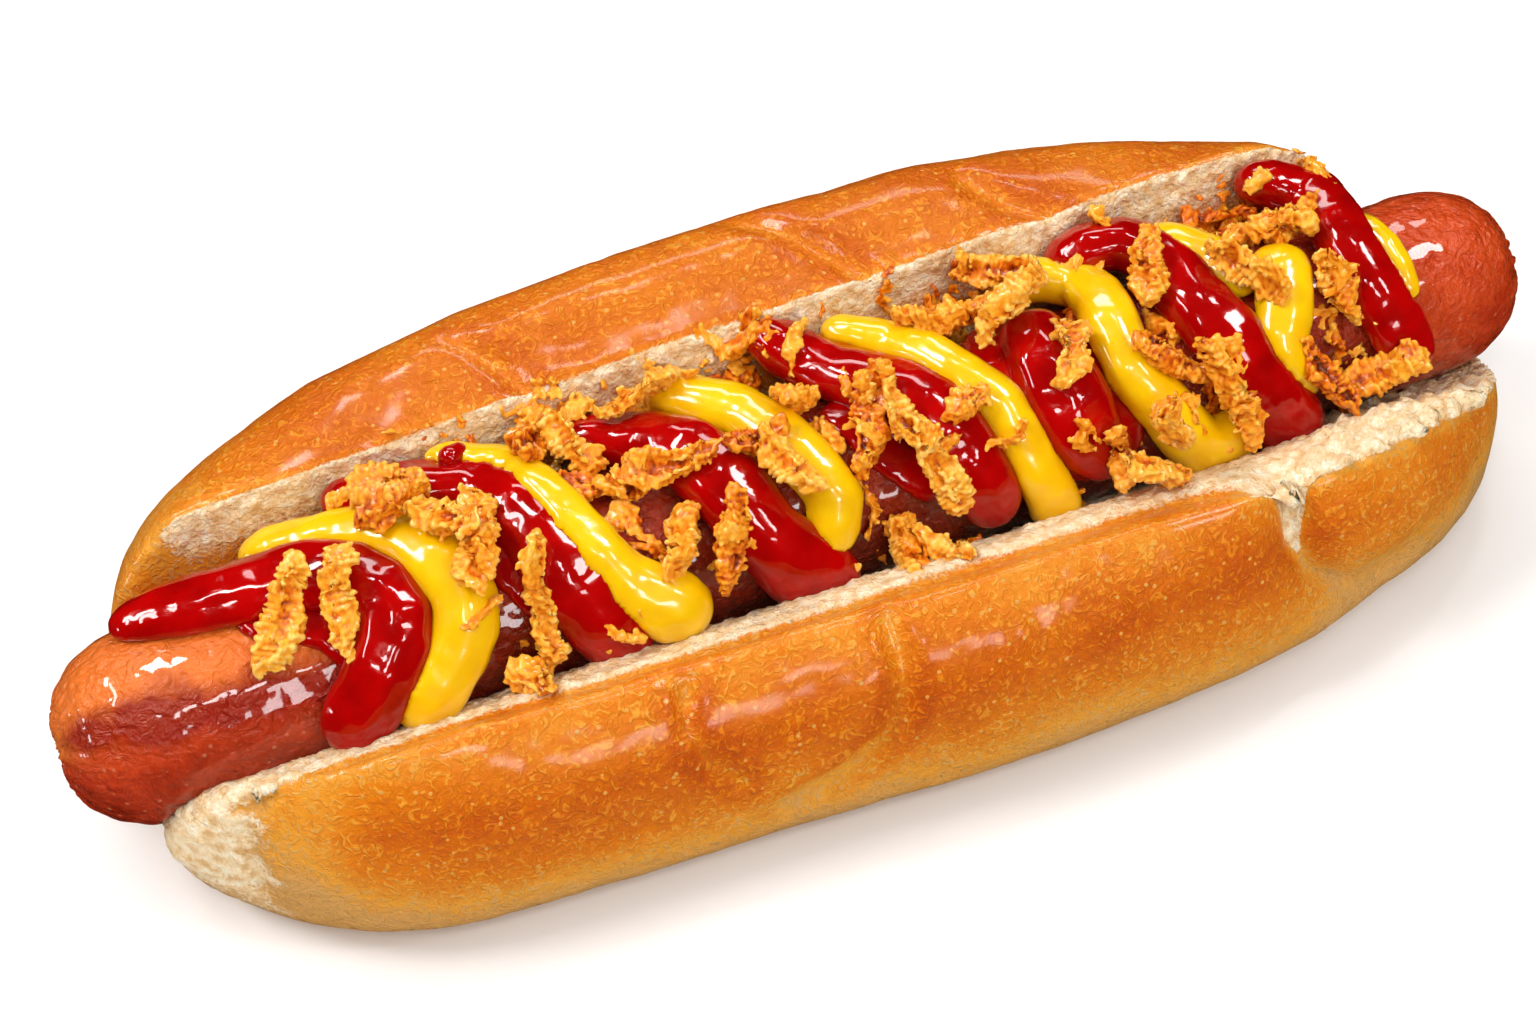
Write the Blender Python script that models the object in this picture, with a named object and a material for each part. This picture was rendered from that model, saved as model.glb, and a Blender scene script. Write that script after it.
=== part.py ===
"""Hot dog: a split soft roll with a smoked sausage, strokes of ketchup and mustard, and fried onions."""

from math import cos, exp, pi, radians, sin

import bmesh
import bpy
from mathutils import Vector
from mathutils.bvhtree import BVHTree

MM = 0.001
GAP = 0.3 * MM

# Roll, opened along its top
BUN_LENGTH = 0.177
BUN_MIDDLE_X = 0.0014
BUN_HALF_WIDTH = 0.0384
BUN_FRONT_HEIGHT = 0.0412
BUN_BACK_HEIGHT = 0.0505
BUN_WIDEST_HEIGHT = 0.0105
BUN_UNDERSIDE_DEPTH = 0.0015
BUN_RINGS = 36
BUN_SIDES = 36
BUN_LAST_RING = 0.9985
BUN_BACK_STOP = 0.94
PLAN_POWER = 2.55
PLAN_ROOT = 2.95
SECTION_POWER = 2.75
TOP_ROOT = 2.2
BELLY_ROOT = 3.0
# Uneven sides of the roll: side, place along it, reach, size
BULGES = (
    ("front", -0.065, 0.018, 0.0018),
    ("front", -0.020, 0.024, -0.0018),
    ("back", 0.035, 0.030, 0.0012),
)
# The crust curls down to the rims of the split over these widths
FRONT_CURL = 0.0065
BACK_CURL = 0.0095

# Sausage, lying a little askew in the roll
SAUSAGE_LENGTH = 0.1914
SAUSAGE_RADIUS = 0.0116
SAUSAGE_HEIGHT = 0.0225
SAUSAGE_SIDEWAYS = -0.002
SAUSAGE_SWING = 0.028
SAUSAGE_RINGS = 30
SAUSAGE_SIDES = 20
DOME_LENGTH = 0.0130
DOME_POWER = 2.2

# Channel between the two sides of the roll; its rims run askew
CHANNEL_LENGTH = 0.2
CHANNEL_RINGS = 10
FRONT_RIM_Y = -0.0265
FRONT_RIM_SWING = -0.035
FRONT_RIM_HEIGHT = 0.031
BACK_RIM_Y = 0.014
BACK_RIM_SWING = 0.041
BACK_RIM_HEIGHT = 0.039
CHANNEL_HEADROOM = 0.03

# Strokes of sauce: height over width, and the rings of their round ends (out, size)
KETCHUP_FLATNESS = 0.68
MUSTARD_FLATNESS = 0.8
SAUCE_SIDES = 8
STROKE_STEPS = 2
SAUCE_CLEARANCE = 0.45 * MM
END_RINGS = ((0.0, 1.0), (0.6, 0.8), (0.92, 0.4))

# Each stroke, the lowest first: name and points. A point is its place along the sausage (mm), its turn
# around it from the top towards the back (degrees), its height over the skin (mm) and the width (mm).
STROKES = (
    ("mustard_6", ((51, 36, 4.0, 6.0), (54, 22, 2.0, 6.0), (56, 2, 1.3, 5.0))),
    ("mustard_8", ((75, 14, 1.3, 4.5), (76, -8, 1.3, 5.5), (76, -36, 1.3, 4.5))),
    ("ketchup_1", (
        (-82, 27, 0.8, 7.0), (-75, 23, 1.0, 9.0), (-65, 15, 1.2, 9.5), (-58, 2, 1.5, 9.0),
        (-55, -25, 1.5, 9.0), (-58, -50, 1.5, 9.0), (-62, -68, 1.5, 9.0),
    )),
    ("ketchup_2", (
        (-54, 48, 5.5, 8.5), (-48, 45, 4.5, 9.5), (-40, 35, 2.5, 9.5), (-36, -7, 1.5, 9.5),
        (-34, -43, 1.5, 9.5), (-31, -74, 1.5, 9.0),
    )),
    ("ketchup_3", (
        (-26, 45, 3.5, 8.5), (-19, 32, 1.5, 9.5), (-14, -14, 1.5, 9.0), (-11, -48, 1.5, 9.0),
        (-6, -80, 2.0, 10.0),
    )),
    ("ketchup_4", (
        (0, 47, 7.0, 9.5), (3, 40, 4.0, 8.5), (8, 15, 1.5, 9.0), (13, -13, 1.5, 9.0),
        (15, -45, 1.5, 9.0), (17, -68, 1.5, 8.0),
    )),
    ("ketchup_5", ((29, 6, 1.0, 9.0), (29, -24, 1.0, 11.0), (30, -50, 1.0, 10.0), (32, -64, 1.0, 8.0))),
    ("ketchup_6", (
        (40, 45, 6.0, 9.0), (45, 41, 6.0, 9.0), (49, 28, 3.0, 8.5), (49, 2, 1.5, 8.5),
        (51, -29, 1.5, 8.5), (54, -60, 1.5, 8.5), (57, -86, 2.5, 9.0),
    )),
    ("ketchup_7", (
        (67, 46, 6.5, 9.0), (71, 36, 4.0, 8.0), (71, -10, 1.5, 7.5), (72, -38, 1.5, 7.5),
        (74, -66, 1.5, 7.0),
    )),
    ("mustard_1", (
        (-66, 42, 2.5, 7.0), (-58, 34, 2.5, 7.0), (-51, 12, 2.0, 7.5), (-47, -28, 1.8, 7.5),
        (-50, -55, 1.8, 7.5), (-54, -70, 1.8, 8.5),
    )),
    ("mustard_2", (
        (-43, 46, 6.0, 6.0), (-37, 33, 4.0, 6.0), (-33, -10, 2.8, 6.5), (-29, -45, 2.5, 7.0),
        (-24, -66, 2.5, 9.0),
    )),
    ("mustard_3", (
        (-14, 44, 5.0, 7.5), (-8, 22, 2.2, 6.5), (-4, -14, 1.6, 6.5), (-2, -42, 1.6, 6.5),
        (-4, -62, 1.6, 6.0),
    )),
    ("mustard_4", (
        (8, 44, 5.5, 6.0), (13, 35, 3.5, 6.0), (17, 2, 2.2, 6.0), (21, -25, 2.0, 6.0),
        (23, -60, 2.0, 6.0), (25, -86, 2.5, 6.0),
    )),
    ("mustard_5", (
        (30, 45, 6.0, 6.0), (38, 36, 3.0, 6.5), (38, -2, 2.5, 6.5), (38, -27, 2.0, 6.5),
        (41, -54, 1.6, 6.5), (45, -82, 2.2, 7.5), (50, -80, 2.2, 6.5),
    )),
    ("mustard_7", (
        (61, -5, 1.6, 7.5), (59, -30, 1.6, 6.5), (57, -46, 1.6, 7.0), (59, -66, 1.6, 5.0),
    )),
)

# Fried onion strips: thickness, section and the shape along them
STRIP_THICKNESS = 0.0030
STRIP_CORNERS = 5
STRIP_SHARES = (-0.5, -0.3, 0.0, 0.3, 0.5)
STRIP_SIZES = (0.5, 0.95, 1.0, 0.95, 0.5)
STRIP_SAG = 0.5 * MM
STRIP_MOST_TILT = 1.2
STRIP_EVENINGS = 3
DROP_HEIGHT = 0.1
# Each strip: middle x and y (mm), turn (degrees), length and width (mm), bend (degrees)
ONION_STRIPS = (
    (-67, -7, 45, 12, 4.2, 20), (-61, -8, 70, 10, 4.0, -40), (-51, 5, -13, 8, 4.0, 0),
    (-51, 1, -5, 10, 4.6, 15), (-43, -6, -111, 14, 5.0, -45), (-46, -4, -50, 7, 4.0, 0),
    (-39, -13, 75, 8, 4.0, 10), (-42, -19, -60, 6, 4.4, 0), (-33, 7, 70, 9, 4.0, 0),
    (-29, 5, -60, 8, 3.8, 0), (-19, 8, 15, 10, 4.2, 10), (-27, -2, -30, 9, 4.4, 0),
    (-20, -4, -10, 13, 4.8, 20), (-21, -12, 60, 9, 3.8, 0), (-16, -14, 50, 10, 4.2, 0),
    (-9, -4, -3, 8, 4.6, 20), (-7, -9, -60, 7, 4.2, 0), (-2, 1, 36, 7, 4.8, 0),
    (5, -5, 63, 11, 4.0, 0), (9, -8, -50, 7, 3.8, 0), (10, -13, -50, 11, 4.2, -30),
    (16, -8, 10, 7, 4.0, 40), (5, -17, 80, 8, 4.0, 0), (9, -19, -45, 8, 3.6, 0),
    (28, 9, -40, 11, 4.6, 20), (21, 5, -10, 17, 4.8, 15), (27, 2, 25, 11, 4.2, 10),
    (31, -5, -114, 11, 4.2, -30), (45, 3, 60, 9, 4.0, -20), (43, -10, -20, 9, 4.0, 0),
    (48, -14, -50, 9, 4.0, 0), (33, -17, 70, 8, 4.4, 30), (35, -20, -10, 9, 4.2, 20),
    (38, -18, 40, 7, 3.8, 0), (58, 9, -80, 8, 4.8, 0), (65, 4, 30, 7, 4.2, 0),
    (63, 3, -15, 9, 3.6, 0), (56, -2, -60, 10, 4.2, 0), (66, -6, -80, 8, 4.0, 20),
    (69, -15, -10, 12, 4.4, 10), (62, -15, -60, 7, 3.8, 0),
)


def signed_power(value, power):
    """Power of a number that keeps its sign."""
    return abs(value) ** power * (1 if value >= 0 else -1)


def smooth_step(value):
    """Goes from 0 to 1 without a corner."""
    held = min(max(value, 0.0), 1.0)
    return held * held * (3 - 2 * held)


def material(name, colour, roughness):
    """Plain finish of one kind of food."""
    made = bpy.data.materials.new(name)
    made.use_nodes = True
    shader = made.node_tree.nodes["Principled BSDF"]
    shader.inputs["Base Color"].default_value = (*colour, 1)
    shader.inputs["Roughness"].default_value = roughness
    shader.inputs["Metallic"].default_value = 0
    return made


def loft(rings):
    """Closed mesh over rings of equal counts, each end closed by a face."""
    mesh = bmesh.new()
    rows = [[mesh.verts.new(point) for point in ring] for ring in rings]
    count = len(rows[0])
    for near, far in zip(rows, rows[1:]):
        for side in range(count):
            after = (side + 1) % count
            mesh.faces.new((near[side], near[after], far[after], far[side]))
    mesh.faces.new(rows[0])
    mesh.faces.new(rows[-1])
    bmesh.ops.recalc_face_normals(mesh, faces=mesh.faces)
    return mesh


def add_object(name, mesh, finish):
    """Object from an edited mesh, shaded smooth."""
    data = bpy.data.meshes.new(name)
    mesh.to_mesh(data)
    mesh.free()
    data.shade_smooth()
    data.materials.append(finish)
    made = bpy.data.objects.new(name, data)
    bpy.context.scene.collection.objects.link(made)
    return made


def add_cutter(name, mesh, finish):
    """Object that only shapes others."""
    cutter = add_object(name, mesh, finish)
    cutter.hide_render = True
    cutter.display_type = "WIRE"
    return cutter


def add_boolean(piece, operation, cutter):
    """Cuts the piece by the cutter, or keeps only what is inside it."""
    cut = piece.modifiers.new(operation.lower(), "BOOLEAN")
    cut.operation = operation
    cut.object = cutter
    cut.solver = "EXACT"


def axis_point(x):
    """Centre line of the sausage."""
    return Vector((x, SAUSAGE_SIDEWAYS + SAUSAGE_SWING * x, SAUSAGE_HEIGHT))


def sausage_radius(x):
    """Radius of the sausage here, its domed ends included."""
    inside = (SAUSAGE_LENGTH / 2 - abs(x)) / DOME_LENGTH
    held = min(max(inside, 0.0), 1.0)
    return SAUSAGE_RADIUS * (1 - (1 - held) ** DOME_POWER) ** (1 / DOME_POWER)


def build_sausage():
    rings = []
    for i in range(SAUSAGE_RINGS + 1):
        x = sin(pi * (i / SAUSAGE_RINGS - 0.5)) * SAUSAGE_LENGTH / 2 * 0.9998
        ring = []
        for side in range(SAUSAGE_SIDES):
            turn = 2 * pi * side / SAUSAGE_SIDES
            ring.append(axis_point(x) + sausage_radius(x) * Vector((0, sin(turn), cos(turn))))
        rings.append(ring)
    return add_object("sausage", loft(rings), material("smoked sausage", (0.42, 0.05, 0.012), 0.3))


def bun_taper(share, back):
    """Share of the full width left here; the back side stops short at its right end."""
    along = abs(share)
    if back and share > 0:
        along = min(along / BUN_BACK_STOP, BUN_LAST_RING)
    return max(1 - along**PLAN_POWER, 0.0) ** (1 / PLAN_ROOT)


def bulge(side, x):
    """How far this side of the roll swells or shrinks here."""
    found = [row[1:] for row in BULGES if row[0] == side]
    return sum(size * exp(-(((x - place) / reach) ** 2)) for place, reach, size in found)


def crust_height(y, full, taper):
    """Height of the whole crust here, before its edges curl."""
    room = max(1 - abs(y / (BUN_HALF_WIDTH * taper)) ** SECTION_POWER, 0.0)
    rise = (full - BUN_WIDEST_HEIGHT) * taper**0.8
    return BUN_WIDEST_HEIGHT + rise * room ** (1 / TOP_ROOT)


def rim_y(side, x):
    """Where this rim of the split runs."""
    if side == "front":
        return FRONT_RIM_Y + FRONT_RIM_SWING * x
    return BACK_RIM_Y + BACK_RIM_SWING * x


def curl(x, y, taper):
    """How far the crust dips at the rims of the split and between them."""
    if y < (rim_y("front", x) + rim_y("back", x)) / 2:
        drop = crust_height(rim_y("front", x), BUN_FRONT_HEIGHT, taper) - FRONT_RIM_HEIGHT
        away = max(rim_y("front", x) - y, 0.0) / FRONT_CURL
    else:
        drop = crust_height(rim_y("back", x), BUN_BACK_HEIGHT, taper) - BACK_RIM_HEIGHT
        away = max(y - rim_y("back", x), 0.0) / BACK_CURL
    return max(drop, 0.0) * exp(-away * away)


def bun_point(share, angle):
    """Surface of the whole roll: angle 0 is the back side, 90 degrees the top."""
    x = BUN_MIDDLE_X + share * BUN_LENGTH / 2
    out = signed_power(cos(angle), 2 / SECTION_POWER)
    taper = bun_taper(share, out > 0)
    width = BUN_HALF_WIDTH * taper
    width = max(width + bulge("back" if out > 0 else "front", x), 0.5 * width)
    y = width * out
    if sin(angle) < 0:
        depth = (BUN_WIDEST_HEIGHT + BUN_UNDERSIDE_DEPTH) * taper**0.5
        return Vector((x, y, BUN_WIDEST_HEIGHT - depth * abs(sin(angle)) ** (2 / BELLY_ROOT)))
    full = BUN_FRONT_HEIGHT + (BUN_BACK_HEIGHT - BUN_FRONT_HEIGHT) * smooth_step(0.5 + out)
    rise = (full - BUN_WIDEST_HEIGHT) * taper**0.8
    z = BUN_WIDEST_HEIGHT + rise * sin(angle) ** (2 / TOP_ROOT)
    return Vector((x, y, z - curl(x, y, taper)))


def flatten_underside(mesh):
    """Cuts the body level at the floor, so that it rests on a flat face."""
    every = mesh.verts[:] + mesh.edges[:] + mesh.faces[:]
    cut = bmesh.ops.bisect_plane(
        mesh, geom=every, plane_co=(0, 0, 0), plane_no=(0, 0, -1), clear_outer=True
    )
    edges = [part for part in cut["geom_cut"] if isinstance(part, bmesh.types.BMEdge)]
    bmesh.ops.contextual_create(mesh, geom=edges)
    bmesh.ops.recalc_face_normals(mesh, faces=mesh.faces)


def build_bun():
    """Whole roll with the channel for the sausage taken out."""
    turn = 2 * pi / BUN_SIDES
    rings = []
    for i in range(BUN_RINGS + 1):
        share = BUN_LAST_RING * sin(pi * (i / BUN_RINGS - 0.5))
        rings.append([bun_point(share, side * turn) for side in range(BUN_SIDES)])
    mesh = loft(rings)
    flatten_underside(mesh)
    finish = material("baked roll", (0.66, 0.16, 0.012), 0.35)
    bun = add_object("bun", mesh, finish)
    add_boolean(bun, "DIFFERENCE", build_channel("channel", 0.0, finish))
    return bun


def channel_section(x, inset):
    """Space for the filling: round under the sausage, up the back side and down the front."""
    centre = axis_point(x)
    radius = SAUSAGE_RADIUS + GAP - inset
    front = Vector((x, rim_y("front", x) + inset, FRONT_RIM_HEIGHT))
    back = Vector((x, rim_y("back", x) - inset, BACK_RIM_HEIGHT))
    points = []
    for degrees in range(-128, -261, -12):
        turn = radians(degrees)
        points.append(centre + radius * Vector((0, sin(turn), cos(turn))))
    low_front = points[0]
    low_back = points[-1]
    points.append(low_back.lerp(back, 0.5) + Vector((0, -0.5 * MM, 0)))
    points.append(back)
    points.append(back + Vector((0, 0, CHANNEL_HEADROOM)))
    points.append(front + Vector((0, -0.01, CHANNEL_HEADROOM + BACK_RIM_HEIGHT - FRONT_RIM_HEIGHT)))
    points.append(front + Vector((0, -0.01, 0.01)))
    points.append(front)
    points.append(low_front.lerp(front, 0.5) + Vector((0, 0, 0.3 * MM)))
    return points


def build_channel(name, inset, finish):
    """The channel as a cutter, a little narrower where something must keep off its walls."""
    step = CHANNEL_LENGTH / CHANNEL_RINGS
    places = [-CHANNEL_LENGTH / 2 + i * step for i in range(CHANNEL_RINGS + 1)]
    return add_cutter(name, loft([channel_section(x, inset) for x in places]), finish)


def spline_value(values, place):
    """Smooth curve through the values, a Catmull-Rom spline; place counts along them."""
    last = len(values) - 1
    index = min(int(place), last - 1)
    t = place - index
    before, start, end, after = (values[min(max(index + k, 0), last)] for k in (-1, 0, 1, 2))
    rise = (end - before) / 2
    fall = (after - start) / 2
    a = 2 * start - 2 * end + rise + fall
    b = 3 * (end - start) - 2 * rise - fall
    return ((a * t + b) * t + rise) * t + start


def stroke_point(stroke, place):
    """Point of a stroke, the way out from the sausage there, and the stroke's width."""
    x, turn, lift, wide = (spline_value([row[k] for row in stroke], place) for k in range(4))
    out = Vector((0, sin(radians(turn)), cos(radians(turn))))
    return axis_point(x * MM) + (SAUSAGE_RADIUS + lift * MM) * out, out, wide * MM


def keep_off_sausage(point):
    """Moves a point that would be in the sausage out to just over its skin."""
    centre = axis_point(point.x)
    away = point - centre
    least = sausage_radius(point.x) + SAUCE_CLEARANCE
    return centre + away.normalized() * max(away.length, least)


def stroke_ring(centre, side, over, wide, high, clear):
    """One ring of a stroke, kept off the sausage where it is told to."""
    ring = []
    for k in range(SAUCE_SIDES):
        turn = 2 * pi * k / SAUCE_SIDES
        point = centre + side * cos(turn) * wide / 2 + over * sin(turn) * high / 2
        ring.append(keep_off_sausage(point) if clear else point)
    return ring


def stroke_mesh(stroke, flatness, grow, clear):
    """Stroke of sauce with round ends."""
    steps = STROKE_STEPS * (len(stroke) - 1)
    samples = [stroke_point(stroke, i / STROKE_STEPS) for i in range(steps + 1)]
    rings = []
    for i, (point, out, wide) in enumerate(samples):
        ahead = (samples[min(i + 1, steps)][0] - samples[max(i - 1, 0)][0]).normalized()
        side = ahead.cross(out).normalized()
        over = side.cross(ahead)
        rows = ((0.0, 1.0),)
        if i == 0:
            rows = [(-reach, size) for reach, size in reversed(END_RINGS)]
        elif i == steps:
            rows = END_RINGS
        for reach, size in rows:
            centre = point + ahead * reach * wide / 2
            broad = wide * size + 2 * grow
            high = wide * size * flatness + 2 * grow
            rings.append(stroke_ring(centre, side, over, broad, high, clear))
    return loft(rings)


def boxes_meet(one, other):
    """Whether two unmoved pieces' boxes overlap."""
    for axis in range(3):
        first = [corner[axis] for corner in one.bound_box]
        second = [corner[axis] for corner in other.bound_box]
        if max(first) < min(second) or max(second) < min(first):
            return False
    return True


def build_sauces():
    """All strokes, from the lowest up; each is hollowed where it lies on those before it."""
    ketchup = material("tomato ketchup", (0.46, 0.002, 0.002), 0.12)
    mustard = material("yellow mustard", (0.98, 0.62, 0.003), 0.2)
    walls = build_channel("channel_room", 2 * GAP, ketchup)
    rooms = []
    pieces = []
    for name, stroke in STROKES:
        is_ketchup = name.startswith("ketchup")
        finish = ketchup if is_ketchup else mustard
        flatness = KETCHUP_FLATNESS if is_ketchup else MUSTARD_FLATNESS
        piece = add_object(name, stroke_mesh(stroke, flatness, 0.0, True), finish)
        for room in rooms:
            if boxes_meet(piece, room):
                add_boolean(piece, "DIFFERENCE", room)
        add_boolean(piece, "INTERSECT", walls)
        rooms.append(add_cutter(name + "_room", stroke_mesh(stroke, flatness, GAP, False), finish))
        pieces.append(piece)
    return pieces


def solid_tree(piece):
    """Search tree over the piece as it stands, its cuts made."""
    return BVHTree.FromObject(piece, bpy.context.evaluated_depsgraph_get())


def height_below(trees, x, y):
    """Height of the topmost surface at this place."""
    hits = [tree.ray_cast(Vector((x, y, DROP_HEIGHT)), Vector((0, 0, -1)))[0] for tree in trees]
    return max((hit.z for hit in hits if hit is not None), default=0.0)


def strip_plan(x, y, turn, length, bend):
    """Points of the strip seen from above, and the direction at each: an arc about (x, y)."""
    plan = []
    for share in STRIP_SHARES:
        heading = radians(turn + bend * share)
        middle = radians(turn + bend * share / 2)
        along = Vector((cos(middle), sin(middle))) * length * share
        plan.append((x + along.x, y + along.y, Vector((cos(heading), sin(heading), 0))))
    return plan


def strip_rings(row, trees):
    """Rings of a strip that lies over what is below it, tilted with the slope."""
    x, y, turn, length, wide, bend = row
    plan = strip_plan(x * MM, y * MM, turn, length * MM, bend)
    heights = []
    slopes = []
    for place_x, place_y, ahead in plan:
        across = Vector((-ahead.y, ahead.x, 0)) * wide * MM / 2
        left = height_below(trees, place_x + across.x, place_y + across.y)
        right = height_below(trees, place_x - across.x, place_y - across.y)
        middle = height_below(trees, place_x, place_y)
        heights.append(max(middle, (left + right) / 2) + STRIP_THICKNESS / 2 + GAP)
        slopes.append(max(min((left - right) / (wide * MM), STRIP_MOST_TILT), -STRIP_MOST_TILT))
    for _ in range(STRIP_EVENINGS):
        for i in range(1, len(heights) - 1):
            straight = (heights[i - 1] + heights[i + 1]) / 2
            heights[i] = max(heights[i], straight - STRIP_SAG)
    for _ in range(STRIP_EVENINGS):
        slopes = [
            (slopes[max(i - 1, 0)] + slopes[i] + slopes[min(i + 1, len(slopes) - 1)]) / 3
            for i in range(len(slopes))
        ]
    sides = [Vector((-ahead.y, ahead.x, slope)).normalized() for (_, _, ahead), slope in zip(plan, slopes)]
    line = [Vector((px, py, z)) for (px, py, _), z in zip(plan, heights)]
    rings = []
    for i, centre in enumerate(line):
        ahead = (line[min(i + 1, len(line) - 1)] - line[max(i - 1, 0)]).normalized()
        over = ahead.cross(sides[i]).normalized()
        size = STRIP_SIZES[i]
        ring = []
        for k in range(STRIP_CORNERS):
            turn = 2 * pi * (k + 0.5 * (i % 2)) / STRIP_CORNERS
            across = sides[i] * cos(turn) * wide * MM / 2 * size
            ring.append(centre + across + over * sin(turn) * STRIP_THICKNESS / 2 * size)
        rings.append(ring)
    return rings


def ring_tree(rings):
    """Search tree over the closed body that these rings make."""
    mesh = loft(rings)
    bmesh.ops.triangulate(mesh, faces=mesh.faces)
    tree = BVHTree.FromBMesh(mesh)
    mesh.free()
    return tree


def build_onions(ground):
    """Fried onion strips, each laid on all that is there before it."""
    fried = material("fried onion", (0.80, 0.34, 0.05), 0.6)
    trees = [solid_tree(piece) for piece in ground]
    for number, row in enumerate(ONION_STRIPS, 1):
        rings = strip_rings(row, trees)
        tree = ring_tree(rings)
        while any(tree.overlap(other) for other in trees):
            rings = [[point + Vector((0, 0, GAP)) for point in ring] for ring in rings]
            tree = ring_tree(rings)
        rings = [[point + Vector((0, 0, GAP)) for point in ring] for ring in rings]
        trees.append(ring_tree(rings))
        add_object("onion_strip_%02d" % number, loft(rings), fried)


def main():
    for old in list(bpy.data.objects):
        bpy.data.objects.remove(old)
    ground = [build_bun(), build_sausage()]
    ground += build_sauces()
    build_onions(ground)


main()
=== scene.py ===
"""Hot dog: the finished surfaces of a soft roll, a smoked sausage, ketchup, mustard and fried onions."""

import random
from math import cos, pi, radians, sin

import bmesh
import bpy
import numpy as np
from mathutils import Matrix, Vector
from mathutils.bvhtree import BVHTree


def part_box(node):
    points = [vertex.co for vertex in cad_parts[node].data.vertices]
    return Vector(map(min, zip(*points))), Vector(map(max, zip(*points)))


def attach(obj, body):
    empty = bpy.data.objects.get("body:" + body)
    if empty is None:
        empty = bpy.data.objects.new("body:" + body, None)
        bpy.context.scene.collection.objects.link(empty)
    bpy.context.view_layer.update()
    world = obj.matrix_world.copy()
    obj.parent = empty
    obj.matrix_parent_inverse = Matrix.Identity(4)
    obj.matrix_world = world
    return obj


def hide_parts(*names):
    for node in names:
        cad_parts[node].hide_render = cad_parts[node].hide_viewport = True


bl_info = {
    "name": "Hot dog",
    "version": (1, 0, 0),
    "blender": (4, 5, 0),
    "location": "3D View > Sidebar > Hot dog",
    "description": "Models a loaded hot dog round its packed solids",
    "category": "Object",
}

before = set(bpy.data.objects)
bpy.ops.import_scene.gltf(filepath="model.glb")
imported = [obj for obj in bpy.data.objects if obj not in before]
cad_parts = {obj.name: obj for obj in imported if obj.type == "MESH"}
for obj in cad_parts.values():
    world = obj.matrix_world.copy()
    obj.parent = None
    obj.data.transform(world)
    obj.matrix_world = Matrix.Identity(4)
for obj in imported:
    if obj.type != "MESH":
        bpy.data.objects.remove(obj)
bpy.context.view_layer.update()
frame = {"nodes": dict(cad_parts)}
MM = 0.001
BODY = "root"

# The channel of the roll, as its solid has it (mm): the two rims and the round floor
FRONT_RIM = (-26.5, -0.035, 31.0)
BACK_RIM = (14.0, 0.041, 39.0)
SAUSAGE_LINE = (-2.0, 0.028, 22.5)
CHANNEL_RADIUS = 11.9
CHANNEL_TURNS = (-128, -260)

KETCHUP_NODES = sorted(name for name in frame["nodes"] if name.startswith("ketchup"))
MUSTARD_NODES = sorted(name for name in frame["nodes"] if name.startswith("mustard"))
STRIP_NODES = sorted(name for name in frame["nodes"] if name.startswith("onion_strip"))

# Creases of the crust: points (mm), width and depth (mm)
CREASES = (
    (((50, -26, 31), (50, -29, 29), (50, -33, 24), (52, -34.5, 18), (57, -34.5, 13), (64, -33, 11)), 4.4, 2.2),
    (((50, -25, 31), (50, -29, 29), (50, -33, 24), (52, -34, 18), (57, -34.5, 13)), 1.4, 1.6),
    (((-29, -25, 31), (-27, -28, 29), (-28, -31, 26), (-26, -34, 22), (-23, -35, 18)), 1.0, 0.9),
    (((-24, -25, 31), (-27, -29, 29)), 1.0, 1.0),
    (((-2, -28, 30), (-2, -32, 27), (-3, -35, 23), (-5, -36, 19), (-10, -37, 15), (-18, -37, 12)), 1.6, 1.2),
    (((-38, 23, 42), (-36, 21, 41), (-33, 17, 40), (-31, 13, 39)), 1.4, 1.2),
    (((0, 29, 41), (7, 22, 41), (13, 15, 39)), 1.3, 1.1),
    (((30, 24, 40), (34, 19, 39), (38, 16, 39)), 1.6, 1.2),
    (((-74, -22, 29), (-77, -22, 24), (-78, -23, 19), (-78, -24, 13)), 1.6, 0.8),
)

NOTCH = ((50, -25, 31.5), (50, -29, 29), (50, -33, 24), (52, -34, 18))

# Thin ketchup on the sausage: places (mm) and turns (degrees) along each patch, and its reach (mm)
KETCHUP_FILMS = (
    (((-67, 8), (-63, 0), (-60, -12), (-58, -26)), 5.4),
    (((27, 14), (29, -20), (32, -55)), 6.6),
    (((-45, 10), (-41, -12), (-38, -40)), 3.0),
    (((3, 5), (6, -25), (10, -50)), 2.6),
)

# Strokes that lie nearly hidden under their neighbours, and how much slimmer (mm) they show
SLIM = {"mustard_8": 1.3}

# Drops of ketchup beside the strokes: x, y and radius (mm)
KETCHUP_DROPS = ((-42.6, 8.2, 1.4), (-41.4, 8.8, 1.0))

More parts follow.
